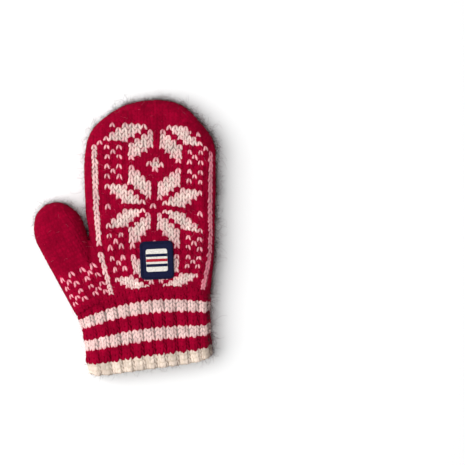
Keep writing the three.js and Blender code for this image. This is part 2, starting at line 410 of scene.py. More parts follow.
def to_outline(outline, plan):
    """Distance from plan points to an outline, positive inside, with the outward direction."""
    points = plan.reshape(-1, 2)
    ends = np.roll(outline, -1, axis=0)
    edges = ends - outline
    lengths = np.maximum((edges**2).sum(1), 1e-12)
    rise = np.where(np.abs(edges[:, 1]) < 1e-12, 1e-12, edges[:, 1])
    distances = np.empty(len(points))
    outward = np.empty((len(points), 2))
    for first in range(0, len(points), BLOCK):
        block = points[first : first + BLOCK]
        away = block[:, None] - outline[None]
        share = np.clip((away * edges).sum(2) / lengths, 0, 1)
        gap = away - share[:, :, None] * edges
        squared = (gap**2).sum(2)
        nearest = squared.argmin(1)
        rows = np.arange(len(block))
        distance = np.sqrt(squared[rows, nearest])
        crosses = (outline[:, 1] > block[:, 1:]) != (ends[:, 1] > block[:, 1:])
        cross_x = outline[:, 0] + (block[:, 1:] - outline[:, 1]) / rise * edges[:, 0]
        inside = ((crosses & (block[:, :1] < cross_x)).sum(1) % 2) == 1
        direct = -gap[rows, nearest] / np.maximum(distance, 1e-9)[:, None]
        direct = np.where(inside[:, None], direct, -direct)
        normal = unit(left_of(edges[nearest]))
        outward[first : first + BLOCK] = np.where(distance[:, None] > 0.05, direct, normal)
        distances[first : first + BLOCK] = np.where(inside, distance, -distance)
    return distances.reshape(plan.shape[:-1]), outward.reshape(plan.shape)


def mitten_depth(plan):
    """How far inside the hand or the thumb plan points are."""
    return np.maximum(to_outline(hand_outline, plan)[0], to_outline(thumb_outline, plan)[0])


# The mitten's surface above a plan point


def pillow(distance, half, reach, side):
    """Height and lean of a padded shape's upper or lower face, a distance inside its outline."""
    lean = 1 - np.clip(distance / half, 0, 1)
    upright = np.sqrt(np.maximum(1 - lean**2, 0))
    if side > 0:
        crown = CROWN * (1 - (1 - np.clip(distance / reach, 0, 1)) ** 2)
        return half + upright * (half + crown), lean, upright
    return half - upright * (half - UNDERSIDE_LIFT), lean, upright


def surface_at(plan, side):
    """Point and normal on the hand and thumb, above or below a plan point."""
    x, y = plan[..., 0], plan[..., 1]
    rise = (x - thumb_centre[0]) * thumb_along[0] + (y - thumb_centre[1]) * thumb_along[1]
    thumb_half = mixed(HAND_HALF, THUMB_HALF, eased(rise / THUMB_LENGTH))
    hand_d, hand_out = to_outline(hand_outline, plan)
    thumb_d, thumb_out = to_outline(thumb_outline, plan)
    hand_z, hand_lean, hand_up = pillow(hand_d, HAND_HALF, half_hand, side)
    thumb_z, thumb_lean, thumb_up = pillow(thumb_d, thumb_half, THUMB_REACH, side)
    on_hand, on_thumb = hand_d > ON_EDGE, thumb_d > ON_EDGE
    far_off = -200.0
    hand_z = side * np.where(on_hand, side * hand_z, far_off)
    thumb_z = side * np.where(on_thumb, side * thumb_z, far_off)
    apart = side * (hand_z - thumb_z)
    closeness = np.clip(1 - np.abs(apart) / BLEND, 0, 1)
    z = np.where(apart > 0, hand_z, thumb_z) + side * BLEND * closeness**2 / 8
    share = np.clip(0.5 + 0.5 * apart / BLEND, 0, 1)[..., None]
    out = hand_out * hand_lean[..., None] * share + thumb_out * thumb_lean[..., None] * (1 - share)
    up = hand_up * share[..., 0] + thumb_up * (1 - share[..., 0])
    return raised(plan, np.where(on_hand | on_thumb, z, HAND_HALF)), unit(raised(out, side * up))


def wrapped(across, low, high, radius):
    """Plan place of a point walked across a section whose two edges are half round."""
    radius = np.minimum(radius, (high - low) / 2)
    over = np.clip((across - (high - radius)) / radius, 0, math.pi / 2)
    under = np.clip(((low + radius) - across) / radius, 0, math.pi / 2)
    return np.clip(across, low + radius, high - radius) + radius * (np.sin(over) - np.sin(under))


# Where columns and rows of the knitting lie: each mapping gives places and normals


def column_x(column, height, side):
    middle = table(COLUMN_MIDDLE, height)
    low = np.interp(height, hand_ys, hand_lefts)
    high = np.interp(height, hand_ys, hand_rights)
    if side < 0:
        middle = low + high - middle
    inner = np.where(column < 0, column, np.minimum(column, OUTER_COLUMN))
    pitch = np.where(column < 0, table(LEFT_PITCH, height), table(RIGHT_PITCH, height))
    across = middle + inner * pitch + (column - inner) * table(OUTER_PITCH, height)
    return wrapped(across, low, high, HAND_HALF)


def row_middle(row):
    below = table(ROW_HEIGHTS, row) - np.maximum(row - LAST_ROW, 0) * SEAM_ROW_PITCH
    above = ROW_HEIGHTS[0][1] + (ROW_HEIGHTS[0][0] - row) * TIP_ROW_PITCH
    height = np.where(row < ROW_HEIGHTS[0][0], above, below)
    over = np.clip((height - TIP_TURN_HEIGHT) / HAND_HALF, 0, math.pi / 2)
    return np.minimum(height, TIP_TURN_HEIGHT) + HAND_HALF * np.sin(over)


def hand_knit(side, column, row):
    """The mapping of the back and the palm."""
    height = row_middle(row)
    x = column_x(column, height, side)
    to_seam = np.clip((row - STRAIGHT_ROW) / (BOWED_ROW - STRAIGHT_ROW), 0, 1)
    drop = np.where(column < 0, table(LEFT_DROP, row), table(RIGHT_DROP, row)) * (side > 0)
    drop = drop * np.minimum(np.abs(column) / DROP_COLUMN, np.where(drop < 0, *DROP_LIMITS)) ** DROP_POWER
    for _ in range(2):
        bow = SEAM_PEAK - seam_height(x)
        y = height - drop * (1 - to_seam) - bow * to_seam
        x = column_x(column, y, side)
    return surface_at(np.stack([x, y], axis=-1), side)


def thumb_section(row):
    """How high a row of the thumb's knitting lies, with half the thumb's width and its middle there."""
    rise = table(THUMB_ROWS, row) - thumb_centre @ thumb_along
    return rise, np.interp(rise, thumb_rises, thumb_halves), np.interp(rise, thumb_rises, thumb_bends)


def thumb_column(column):
    return THUMB_AXIS - thumb_centre @ thumb_across + THUMB_FIRST_COLUMN + THUMB_PITCH * column


def thumb_knit(side, column, row):
    """The mapping of the thumb and its gusset."""
    rise, half, middle = thumb_section(row)
    right = middle + half + np.where(rise < 0, GUSSET_REACH, 0.0)
    plan = thumb_plan(wrapped(thumb_column(column), middle - half, right, HAND_HALF), rise)
    if side > 0:
        lift = table(GUSSET_LIFT, column)
        lift = np.where(lift < 0, lift * (LOWERING_SHARE + LOWERING_GROWTH * row), lift)
        fade = eased(row / GUSSET_FADE + 1)
        plan = plan + np.stack([GUSSET_RIGHT * fade, lift * fade], axis=-1)
    return surface_at(plan, side)


# The hand's outline from the crotch over the tip to the seam
free_left = left_side[left_side[:, 1] >= CROTCH_HEIGHT - 3]
free_right = right_side[right_side[:, 1] >= seam_height(half_hand) - 1]
band_points = resampled(np.vstack([free_left, free_right[::-1]]), OUTLINE_STEP)
band_outward = beside(band_points)
band_walked = np.arange(len(band_points), dtype=float)
band_walked *= np.linalg.norm(band_points[1] - band_points[0])
band_tip = band_walked[band_points[:, 1].argmax()]


def band_knit(direction, column, row):
    """The mapping of the plain band. Rows count down from the tip, to the left or to the right."""
    walked = band_tip + direction * row * BAND_ROW_PITCH
    point, out = (
        np.stack([np.interp(walked, band_walked, line[:, k]) for k in (0, 1)], axis=-1)
        for line in (band_points, band_outward)
    )
    start, end = (mixed(a, b, across_share(point[..., 0])) for a, b in zip(BAND_LEFT, BAND_RIGHT))
    angle = mixed(start, end, (column + 0.5) / BAND_COLUMNS)
    distance = HAND_HALF * (1 - np.sin(angle))
    crown = CROWN * (1 - (1 - distance / half_hand) ** 2)
    reach = np.where(angle < math.pi / 2, HAND_HALF + crown, HAND_HALF - UNDERSIDE_LIFT)
    points = raised(point - out * distance[..., None], HAND_HALF + np.cos(angle) * reach)
    return points, raised(out * np.sin(angle)[..., None], np.cos(angle))


# The cuff's section and ribs

cuff_curve = smooth_curve([(left, right, down) for down, left, right in CUFF_EDGES], 12)


def cuff_place(turn, down, depth):
    """A point of the cuff and its normal: turn runs once round it, down from the seam to the mouth."""
    low = np.interp(down, cuff_curve[:, 2], cuff_curve[:, 0]) * half_hand + depth
    high = np.interp(down, cuff_curve[:, 2], cuff_curve[:, 1]) * half_hand - depth
    full = mixed(HAND_HALF, CUFF_HALF, eased(down / CUFF_BLEND))
    half = full - depth
    flat = high - low - 2 * half
    bend = math.pi * half
    middle = (low + high) / 2
    walked = (turn * 2 * (flat + bend) + flat / 2) % (2 * (flat + bend))
    left_bend = (walked > flat) & (walked <= flat + bend)
    right_bend = walked > 2 * flat + bend
    top = (walked > flat + bend) & ~right_bend
    swing = np.where(left_bend, (walked - flat) / half, (walked - 2 * flat - bend) / half)
    sine, cosine = np.sin(swing), np.cos(swing)
    xs = [middle - flat / 2 - half * sine, middle + flat / 2 + half * sine]
    xs.append(middle - flat / 2 + walked - flat - bend)
    x = np.select([left_bend, right_bend, top], xs, middle + flat / 2 - walked)
    z = np.select([left_bend, right_bend, top], [-half * cosine, half * cosine, half], -half)
    share = 2 * (x - middle) / (high - low)
    crown = CROWN * (1 - share**2) * np.maximum(z, 0) / half
    rounding = np.where(x > middle, MOUTH_RIGHT_ROUNDING, MOUTH_LEFT_ROUNDING)
    mouth = -CUFF_LENGTH + MOUTH_TILT * x / half_hand + rounding * share**MOUTH_POWER
    y = seam_height(x) - GAP + (mouth - seam_height(x) + GAP) * down
    lift = np.where(z < 0, UNDERSIDE_LIFT * -z / half, 0)
    points = np.stack([x, y, full + z + crown + lift], axis=-1)
    normal_x = np.select([left_bend, right_bend], [-sine, sine], 0.0)
    return points, np.stack([normal_x, np.zeros_like(x), z / half], axis=-1)


def rib_depth(turn, down):
    """How deep the surface lies between two ribs. A rib's crest is half way between grooves."""
    start, end = LEFT_RIB_FADE
    from_left = eased((np.abs(turn % 1 - 0.25) - start) / (end - start))
    groove = np.cos(math.pi * (RIBS * turn - RIB_SHIFT)) ** 4
    return RIB_DEPTH * groove * mixed(LEFT_RIB_DEPTH, 1, from_left) * eased(down / CUFF_BLEND)


def cuff_knit(rib, row):
    """The mapping of the cuff: rib counts round it and row from the seam."""
    ends = [0] + [end for end, _ in CUFF_BANDS]
    rows = [k * ROWS_PER_BAND - 0.5 for k in range(len(ends))]
    down = np.interp(row, rows, ends) + np.minimum(row - rows[0], 0) * ends[1] / ROWS_PER_BAND
    turn = (rib + RIB_SHIFT) / RIBS
    points, normals = cuff_place(turn, down, 0.0)
    return points - normals * rib_depth(turn, down)[..., None], normals


# Charts


def back_chart():
    """Columns and rows of the cream stitches on the back: a star that repeats, and its fillings."""
    cells = set()
    petals = [(near, far) for near in (1, 2, 3, 4) for far in range(near + 1, near + 5)]
    star = [(0, 0), (8, 0)] + petals + [(far, near) for near, far in petals]
    flower = [(0, 8), (1, 9), (0, 9), (0, 10)]
    cross = [(6, 6), (8, 6), (7, 7), (6, 8), (8, 8)]
    for column, row in star:
        for middle in (-18, 0, 18):
            cells |= {(column, middle + row), (column, middle - row)}
    for column, row in flower + cross + [(c, r + 4) for c, r in cross]:
        cells |= {(column, row), (column, -row)}
    cells |= {(EDGE_COLUMN, row) for row in range(-12, 18)} | {(9, -13)}
    cells |= {(-c, r) for c, r in cells}
    cells = {(c, r) for c, r in cells if -17 <= r <= 17} | {(-7, -17), (8, -16)}
    return cells - {(-EDGE_COLUMN, 8)}


def palm_chart():
    """Cream ground with small red crosses between two cream lines."""
    cells = {(c, r) for c in range(-8, 9) for r in range(-17, 18)}
    for middle in range(-20, 21, 4):
        for column, shift in ((-6, 0), (-3, 2), (0, 0), (3, 2), (6, 0)):
            row = middle + shift
            cells -= {(column, row), (column - 1, row), (column + 1, row)}
            cells -= {(column, row - 1), (column, row + 1)}
    cells -= {(side * 8, r) for side in (-1, 1) for r in (-6, 2, 10)}
    cells |= {(side * EDGE_COLUMN, r) for side in (-1, 1) for r in range(-13, 18)}
    return cells - {(-EDGE_COLUMN, 8)}


def gusset_chart():
    """Small crosses on the gusset."""
    middles = [(column, row) for column in (-3, 1) for row in (1, 5)]
    return set(middles) | {(c + a, r + b) for c, r in middles for a in (-1, 1) for b in (-1, 1)}


# Meshes


def placed(name, mesh):
    piece = bpy.data.objects.new(name, mesh)
    bpy.context.scene.collection.objects.link(piece)
    return piece


def write_mesh(name, points, faces, colours=None, flat=False):
    """A mesh in the frame from points in millimetres, with a colour at each: its yarn's, darkened as
    painted shade on the felt under cream stitches, on the cuff's inside and on the halo.
    """
    mesh = bpy.data.meshes.new(name)
    mesh.from_pydata(to_frame(points).tolist(), [], [tuple(face) for face in faces], shade_flat=flat)
    if colours is not None:
        paint = mesh.color_attributes.new("yarn", "FLOAT_COLOR", "POINT")
        solid = np.column_stack([colours, np.ones(len(points))])
        paint.data.foreach_set("color", solid.astype(np.float32).ravel())
    mesh.validate()
    return placed(name, mesh)


def ring_faces(rings, around, loop=False):
    """Four-cornered faces between rings of points, and from the last ring to the first of a loop."""
    ring, spot = np.divmod(np.arange((rings if loop else rings - 1) * around), around)
    beyond = (spot + 1) % around
    start, end = ring * around, (ring + 1) % rings * around
    return np.column_stack([start + spot, start + beyond, end + beyond, end + spot])


def tubes(paths, normals, widths, heights, sides):
    """Rings round many paths at once. Returns points and faces of the joined tubes."""
    along = unit(np.gradient(paths, axis=-2))
    across = unit(np.cross(along, normals))
    up = np.cross(across, along)
    angles = np.arange(sides) * 2 * math.pi / sides
    rings = (
        paths[..., None, :]
        + across[..., None, :] * (widths[..., None] * np.cos(angles))[..., None]
        + up[..., None, :] * (heights[..., None] * np.sin(angles))[..., None]
    )
    steps = paths.shape[-2]
    starts = np.arange(int(np.prod(paths.shape[:-2]))) * steps * sides
    faces = ring_faces(steps, sides)[None] + starts[:, None, None]
    return rings.reshape(-1, 3), faces.reshape(-1, 4)


# A leg's points, and its rise and thickness along it in millimetres and shares
LEG_STEPS = 7
LEG_SIDES = 6
LEG_RISE = [(0, -0.05), (0.45, 0.3), (1, -0.2)]
LEG_TAPER = [(0, 0.32), (0.25, 0.86), (0.75, 1.05), (1, 0.34)]
# Half a leg's width and height where it is round, and what matting adds to them
LEG_WIDTH, MATTED_WIDTH = 0.93, 1.02
LEG_HEIGHT, MATTED_HEIGHT = 0.74, -0.19
# How irregular the knitting is: where legs and whole stitches lie, their size and their shade
LEG_STRAY, STITCH_STRAY = 0.042, 0.032
UNEVEN_SIZE, UNEVEN_SHADE = 0.08, 0.07


def knitted(columns, rows, colours, place, fat, fringe, spread=1.0, reach=1.0, lift=0.0, foot=0.0):
    """Points, faces and colours of stitches: each is two legs that part from one apex.
    fat is 0 for a round clear stitch and 1 for a matted one. fringe is how pink its rim, its
    apex and its feet are, reach is its size, lift raises it and foot lengthens its legs."""
    count = len(columns)
    fat, reach, lift, foot = (np.broadcast_to(v, count)[:, None, None] for v in (fat, reach, lift, foot))
    t = np.linspace(0, 1, LEG_STEPS)
    across = 0.04 + 0.43 * t**0.9
    up = 0.66 - 1.32 * t
    rise = table(LEG_RISE, t)
    stray = random.normal(0, LEG_STRAY, (count, 2, 2, 1)) + random.normal(0, STITCH_STRAY, (count, 2, 1, 1))
    legs = np.array([-1.0, 1.0])[:, None] * across * reach
    leg_columns = columns[:, None, None] + spread * (legs + stray[:, 0])
    leg_rows = rows[:, None, None] - up * reach + foot * t**2 + stray[:, 1]
    points, normals = place(leg_columns, leg_rows)
    size = (1 + random.normal(0, UNEVEN_SIZE, (count, 2, 1))) * reach**0.5
    taper = table(LEG_TAPER, t)
    widths = (LEG_WIDTH + MATTED_WIDTH * fat) * size * taper
    heights = (LEG_HEIGHT + MATTED_HEIGHT * fat) * size * taper
    sink = STITCH_DEPTH + 0.2 * fat - rise * (1 - 0.7 * fat) - lift
    tube_points, faces = tubes(points - normals * sink[..., None], normals, widths, heights, LEG_SIDES)
    shade = 1 + random.normal(0, UNEVEN_SHADE, (count, 1))
    rim = 0.3 + 0.7 * np.abs(np.cos(np.arange(LEG_SIDES) * 2 * math.pi / LEG_SIDES))
    near_apex = np.clip(1 - t / 0.45, 0, 1)
    near_feet = np.clip(1 - (1 - t) / 0.45, 0, 1)
    pink = fringe[:, 0, None, None] * rim + fringe[:, 1, None, None] * near_apex[:, None]
    pink = np.clip(pink + fringe[:, 2, None, None] * near_feet[:, None], 0, 1)
    pink = np.broadcast_to(pink[:, None], (count, 2, LEG_STEPS, LEG_SIDES))[..., None]
    own = (colours * shade)[:, None, None, None]
    return tube_points, faces, mixed(own, np.array(YARNS["fringe"]), pink).reshape(-1, 3)


def joined(parts):
    """One set of points, faces and colours from several."""
    points, faces, colours = zip(*parts)
    starts = np.cumsum([0] + [len(part) for part in points[:-1]])
    faces = [part + start for part, start in zip(faces, starts)]
    return np.vstack(points), np.vstack(faces), np.vstack(colours)


def split(cells):
    """Columns and rows of some cells."""
    return np.array(cells, float).T


def knit_cells(cells, chart, place, rim=1.0, short=1.0, single_matted=0.1):
    """The stitches of some cells. Cream ones are pink where their neighbours are red, and a red
    one between cream ones is raised."""
    cells = sorted(cells)
    colours, matted, fringe, lift = [], [], [], []
    for column, row in cells:
        own = (column, row) in chart
        left, right = ((column + step, row) in chart for step in (-1, 1))
        above, under = ((column, row + step) in chart for step in (-1, 1))
        single = own and not above and not under
        colours.append(YARNS["cream" if own else "red"])
        matted.append(single_matted if single else CREAM_MATTED if own else 1.0)
        pink = LINE_PINK.get(column, 1 - (left + right) / 2), not above, not under
        fringe.append([share * amount * rim * own for share, amount in zip(FRINGE, pink)])
        between = (left and right) or (above and under)
        lift.append(GAP_LIFT if between and not own else 0.0)
    colours, fringe = np.array(colours), np.array(fringe)
    reach = [short if cell in chart else 1.0 for cell in cells]
    return knitted(*split(cells), colours, place, matted, fringe, reach=reach, lift=lift)


def hand_cells(side):
    """The cells of the back or palm that lie inside the plain band."""
    cells = [(c, r) for r in range(FIRST_ROW, LAST_ROW + 1) for c in range(-EDGE_COLUMN, EDGE_COLUMN + 1)]
    columns, rows = split(cells)
    points, _ = hand_knit(side, columns, rows)
    distance, _ = to_outline(hand_outline, points[:, :2])
    left, right = (BAND_LEFT, BAND_RIGHT)[::side]
    start = mixed(left[0], right[0], across_share(points[:, 0]))
    free = (distance > HAND_HALF * (1 - np.sin(start)) - 0.4) | (rows > 8)
    free &= points[:, 1] < TIP_LIMIT
    return {cell for cell, kept in zip(cells, free) if kept}


def thumb_cells(side):
    """The cells of the thumb and gusset on one side, left of the gusset line."""
    cells = [(c, r) for r in range(-16, 9) for c in range(-7, 8)]
    columns, rows = split(cells)
    rise, half, middle = thumb_section(rows)
    radius = np.minimum(HAND_HALF, half)
    quarter = half - radius + radius * math.pi / 2
    across = thumb_column(columns)
    x, y, _ = thumb_knit(side, columns, rows)[0].T
    free = (across >= middle - quarter - 0.5) & (y >= seam_height(x) - 1.2)
    free &= np.where(rise > 0, across <= middle + quarter + 0.5, x <= gusset_x(y) - 3.0)
    return {cell for cell, kept in zip(cells, free) if kept}


def band_cells(direction):
    rows = int((band_tip if direction < 0 else band_walked[-1] - band_tip) / BAND_ROW_PITCH)
    return {(c, r) for c in range(BAND_COLUMNS) for r in range(rows)}


# Felted base of the hand and thumb, under the stitches

# How far from the middle of a cream stitch the felt is cream too
PATCH_REACH = 2.6
# How far apart the felt's points are, and how far inside the outline its rings of points lie
FELT_STEP = 1.8
FELT_EDGE_STEP = 1.6
FELT_INSETS = (0.25, 0.9, 2.0, 3.6, 5.6)


def grid_inside(outline, step):
    low, high = outline.min(0), outline.max(0)
    xs, ys = np.meshgrid(np.arange(low[0], high[0], step), np.arange(low[1], high[1], step))
    xs[::2] += step / 2
    points = np.column_stack([xs.ravel(), ys.ravel()])
    return points[to_outline(outline, points)[0] > step * 0.6]


def under_patch(points, patches):
    """Which points of the felt have a patch of cream knitting over them."""
    covered = np.zeros(len(points), bool)
    for first in range(0, len(points) if len(patches) else 0, BLOCK):
        block = points[first : first + BLOCK]
        nearest = ((block[:, None] - patches[None]) ** 2).sum(2).min(1)
        covered[first : first + BLOCK] = nearest < PATCH_REACH**2
    return covered


def cream_patches(side, neighbours):
    """Middles of the hand's cream stitches that have so many cream neighbours."""
    chart = back_chart() if side > 0 else palm_chart()
    around = ((-1, 0), (1, 0), (0, -1), (0, 1))
    cells = sorted(hand_cells(side) & chart)
    cells = [(c, r) for c, r in cells if sum((c + a, r + b) in chart for a, b in around) >= neighbours]
    return hand_knit(side, *split(cells))[0]


def lifted_shell(outline, name, depth, patches=()):
    """A shell over a plan region: its upper and lower faces join where the region's edge is the
    mitten's own outline, and stay open at the seam and at the gusset line."""
    outline = resampled(closed(outline), FELT_EDGE_STEP)[:-1]
    rings = []
    for edge in (hand_outline, thumb_outline):
        _, outward = to_outline(edge, edge)
        for inset in FELT_INSETS:
            ring = edge[::2] - outward[::2] * inset
            free = to_outline(outline, ring)[0] > min(inset * 0.6, 0.8)
            rings.append(ring[(np.abs(mitten_depth(ring) - inset) < 0.1) & free])
    plan = np.vstack([outline, *rings, grid_inside(outline, FELT_STEP)])
    count = len(outline)
    edges = [(k, (k + 1) % count) for k in range(count)]
    flat, _, triangles, _, _, _ = delaunay_2d_cdt([Vector(p) for p in plan], edges, [], 1, 1e-4)
    flat = np.array([tuple(p) for p in flat])
    triangles = np.array([t for t in triangles if len(t) == 3])
    triangles = triangles[to_outline(outline, flat[triangles].mean(1))[0] > 0]
    points, colours = [], []
    for side in (1, -1):
        face_points, normals = surface_at(flat, side)
        covered = under_patch(face_points, patches)[:, None]
        points.append(face_points - normals * np.where(covered, PATCH_FELT_DEPTH, depth))
        # Under patches of cream knitting the felt is painted dark, as shade in the holes between the
        # stitches
        colours.append(np.where(covered, UNDER_YARNS_AND_SHADE["cream"], UNDER_YARNS_AND_SHADE["red"]))
    faces = np.vstack([triangles, triangles[:, ::-1] + len(flat)])
    piece = write_mesh(name, np.vstack(points), faces, np.vstack(colours))
    shell = bmesh.new()
    shell.from_mesh(piece.data)
    bmesh.ops.remove_doubles(shell, verts=shell.verts, dist=2e-4)
    bmesh.ops.recalc_face_normals(shell, faces=shell.faces)
    shell.to_mesh(piece.data)
    shell.free()
    wall = piece.modifiers.new("wall", "SOLIDIFY")
    wall.thickness = (WALL - depth) / 1000
    wall.offset = -1
    return piece


def on_seam(xs):
    return np.column_stack([xs, seam_height(xs)])


def region_outlines():
    """Plan outlines of the hand and of the thumb with its gusset, split at the gusset line."""
    above = left_side[left_side[:, 1] >= CROTCH_HEIGHT]
    right = right_side[above_seam(right_side)]
    gusset_ys = np.linspace(CROTCH_HEIGHT, seam_height(gusset_x(-2.0)), 20)
    gusset = np.column_stack([gusset_x(gusset_ys), gusset_ys])
    foot = gusset[-1, 0]
    hand_seam = on_seam(np.linspace(foot, right[0, 0], 40)[1:-1])
    thumb_loop = np.vstack([thumb_right, thumb_left[::-1]])
    outer = thumb_loop[(to_outline(hand_outline, thumb_loop)[0] < 0) & above_seam(thumb_loop)]
    thumb_seam = on_seam(np.linspace(outer[-1, 0], foot, 24)[1:])
    hand_region = np.vstack([right, above[::-1], gusset[1:], hand_seam])
    return hand_region, np.vstack([outer, thumb_seam, gusset[::-1][1:]])


# The cuff wall's points round one rib, rings from seam to mouth, and how ribbed its inside is
POINTS_PER_RIB = 12
CUFF_RINGS = 42
INNER_RIBS = 0.4


def cuff_shell():
    """The cuff's ribbed wall: up its outside, over the rims and down its inside."""
    around = RIBS * POINTS_PER_RIB
    turns = np.arange(around) / around
    up = np.linspace(1, 0, CUFF_RINGS)
    rings, colours = [], []
    for downs, depth, ribbed in ((up, CUFF_FELT_DEPTH, 1.0), (up[::-1], WALL, INNER_RIBS)):
        for down in downs:
            points, normals = cuff_place(turns, down, depth)
            rings.append(points - normals * (rib_depth(turns, down) * ribbed)[:, None])
            yarn = next(yarn for end, yarn in CUFF_BANDS if down <= end + UNDER_SHIFT[yarn])
            # The inside takes its yarns darkened, painted shade inside the mouth
            shaded_lining = tuple(LINING_PAINTED_SHADE * v for v in YARNS[yarn])
            # On the outside, cream bands take the dark under-cream colour, painted shade in the ribs'
            # grooves and holes
            colours.append(np.tile(shaded_lining if depth == WALL else UNDER_YARNS_AND_SHADE[yarn], (around, 1)))
    faces = ring_faces(len(rings), around, loop=True)
    return write_mesh("cuff_wall", np.vstack(rings), faces, np.vstack(colours))


# Materials


def new_material(name):
    """A material with its nodes, links, shader and object coordinates."""
    material = bpy.data.materials.new(name)
    material.use_nodes = True
    nodes, links = material.node_tree.nodes, material.node_tree.links
    where = nodes.new("ShaderNodeTexCoord").outputs["Object"]
    return material, nodes, links, nodes["Principled BSDF"], where


def filled(node, **values):
    """A node with some of its inputs set. Underscores stand for the spaces in their names."""
    for name, value in values.items():
        node.inputs[name.replace("_", " ")].default_value = value
    return node


def noise(nodes, links, where, scale, detail=3.0):
    texture = filled(nodes.new("ShaderNodeTexNoise"), Scale=scale, Detail=detail)
    links.new(where, texture.inputs["Vector"])
    return texture.outputs["Fac"]


def add_bump(nodes, links, shader, height, strength, distance):
    bump = filled(nodes.new("ShaderNodeBump"), Strength=strength, Distance=distance)
    links.new(height, bump.inputs["Height"])
    links.new(bump.outputs["Normal"], shader.inputs["Normal"])


def add_ramp(nodes, links, shader, value, colours, positions=(0.0, 1.0)):
    """Colours a shader from one colour to another by a value."""
    ramp = nodes.new("ShaderNodeValToRGB")
    for element, colour, position in zip(ramp.color_ramp.elements, colours, positions):
        element.position = position
        element.color = (*colour, 1)
    links.new(value, ramp.inputs["Fac"])
    links.new(ramp.outputs["Color"], shader.inputs["Base Color"])


def wool_material(name, turn=0.0, bump=0.6, low=0.82, high=1.12):
    """Wool: the colour at each point, its yarn's and on some pieces partly painted shade, with lighter
    and darker patches, streaks along the columns and fibres, and a fine bump. turn is how far the
    columns lean."""
    material, nodes, links, shader, where = new_material(name)
    yarn = nodes.new("ShaderNodeAttribute")
    yarn.attribute_name = "yarn"
    lean = nodes.new("ShaderNodeMapping")
    lean.vector_type = "TEXTURE"
    filled(lean, Rotation=(0, 0, turn), Scale=(1, 6, 1))
    links.new(where, lean.inputs["Vector"])
    patches = noise(nodes, links, where, 60.0, 5.0)
    streaks = noise(nodes, links, lean.outputs["Vector"], 420.0, 2.0)
    fibres = noise(nodes, links, where, 2600.0, 4.0)
    colour = yarn.outputs["Color"]
    for value, darkest, lightest in ((patches, 0.84, 1.14), (streaks, 0.86, 1.1), (fibres, low, high)):
        spread = filled(nodes.new("ShaderNodeMapRange"), From_Min=0.3, From_Max=0.7)
        filled(spread, To_Min=darkest, To_Max=lightest)
        links.new(value, spread.inputs["Value"])
        scaled = nodes.new("ShaderNodeVectorMath")
        scaled.operation = "SCALE"
        links.new(colour, scaled.inputs[0])
        links.new(spread.outputs["Result"], scaled.inputs["Scale"])
        colour = scaled.outputs["Vector"]
    links.new(colour, shader.inputs["Base Color"])
    add_bump(nodes, links, shader, fibres, bump, 0.0003)
    filled(shader, Roughness=0.95, Specular_IOR_Level=0.02)
    return material


def woven_material(colour):
    """A tight flat weave in one colour: crossing threads as bump, with a little unevenness."""
    material, nodes, links, shader, where = new_material("label_" + colour)
    height = nodes.new("ShaderNodeMath")
    height.operation = "MAXIMUM"
    for slot, direction in enumerate(("X", "Y")):
        threads = filled(nodes.new("ShaderNodeTexWave"), Scale=2400.0, Distortion=0.6)
        threads.bands_direction = direction
        links.new(where, threads.inputs["Vector"])
        links.new(threads.outputs["Fac"], height.inputs[slot])
    colours = [[min(share * v, 1) for v in LABEL_COLOURS[colour]] for share in (0.72, 1.15)]
    add_ramp(nodes, links, shader, noise(nodes, links, where, 900.0), colours, (0.3, 0.75))
    add_bump(nodes, links, shader, height.outputs["Value"], 0.5, 0.0002)
    filled(shader, Roughness=0.85, Specular_IOR_Level=0.1)
    return material


def floor_material():
    material, nodes, links, shader, where = new_material("floor")
    add_ramp(nodes, links, shader, noise(nodes, links, where, 3.0), [[shade] * 3 for shade in (0.86, 0.88)])
    filled(shader, Roughness=1.0, Specular_IOR_Level=0.0)
    return material


# The label


def rounded_outline(width, height, corner, steps=8):
    points = []
    for quarter, (sx, sy) in enumerate(((1, 1), (-1, 1), (-1, -1), (1, -1))):
        for k in range(steps + 1):
            angle = (quarter + k / steps) * math.pi / 2
            x = sx * (width / 2 - corner) + corner * math.cos(angle)
            y = sy * (height / 2 - corner) + corner * math.sin(angle)
            points.append((x, y))
    return np.array(points)


def turned(points):
    """Points of the label in its own plan frame, moved to its place on the back."""
    c, s = math.cos(LABEL_TURN), math.sin(LABEL_TURN)
    x = c * points[..., 0] - s * points[..., 1] + LABEL_ACROSS * half_hand
    y = s * points[..., 0] + c * points[..., 1] + LABEL_RISE
    return np.stack([x, y, points[..., 2]], axis=-1)


def stacked(outline, levels):
    """An outline repeated at several scales and heights, in the label's place."""
    return turned(np.vstack([raised(outline * scale, np.full(len(outline), z)) for scale, z in levels]))


def plate(name, outline, low, high):
    """A flat plate with a softened upper edge."""
    points = stacked(outline, ((1.0, low), (1.0, high - 0.25), (0.985, high - 0.06), (0.96, high)))
    count = len(outline)
    faces = [*ring_faces(4, count), range(3 * count, 4 * count), range(count - 1, -1, -1)]
    return write_mesh(name, points, faces, flat=True)


def make_label():
    """A generic woven patch: navy border, cream field and plain stripes, sewn down. Gives each
    piece with its material."""
    navy, cream, red = (woven_material(colour) for colour in ("navy", "cream", "red"))
    width, height = LABEL_SIZE
    patch = rounded_outline(width, height, LABEL_CORNER)
    field = rounded_outline(width - FIELD_MARGINS[0], height - FIELD_MARGINS[1], FIELD_CORNER)
    pieces = [(plate("label_patch", patch, LABEL_BOTTOM, LABEL_TOP), navy)]
    pieces.append((plate("label_field", field, LABEL_TOP - 0.1, LABEL_TOP + 0.12), cream))
    corners = np.array([(1, 1), (-1, 1), (-1, -1), (1, -1)]) / 2
    for number, material in enumerate((navy, red, navy)):
        strip = corners * (width - STRIPE_MARGIN, STRIPE_THICKNESS) + (0, STRIPE_PITCH * (1 - number))
        points = stacked(strip, ((1, LABEL_TOP + 0.05), (1, LABEL_TOP + 0.24)))
        faces = [(4, 5, 6, 7), *ring_faces(2, 4)]
        pieces.append((write_mesh(f"label_stripe_{number + 1}", points, faces, flat=True), material))
    return pieces + [(label_border(), navy)]


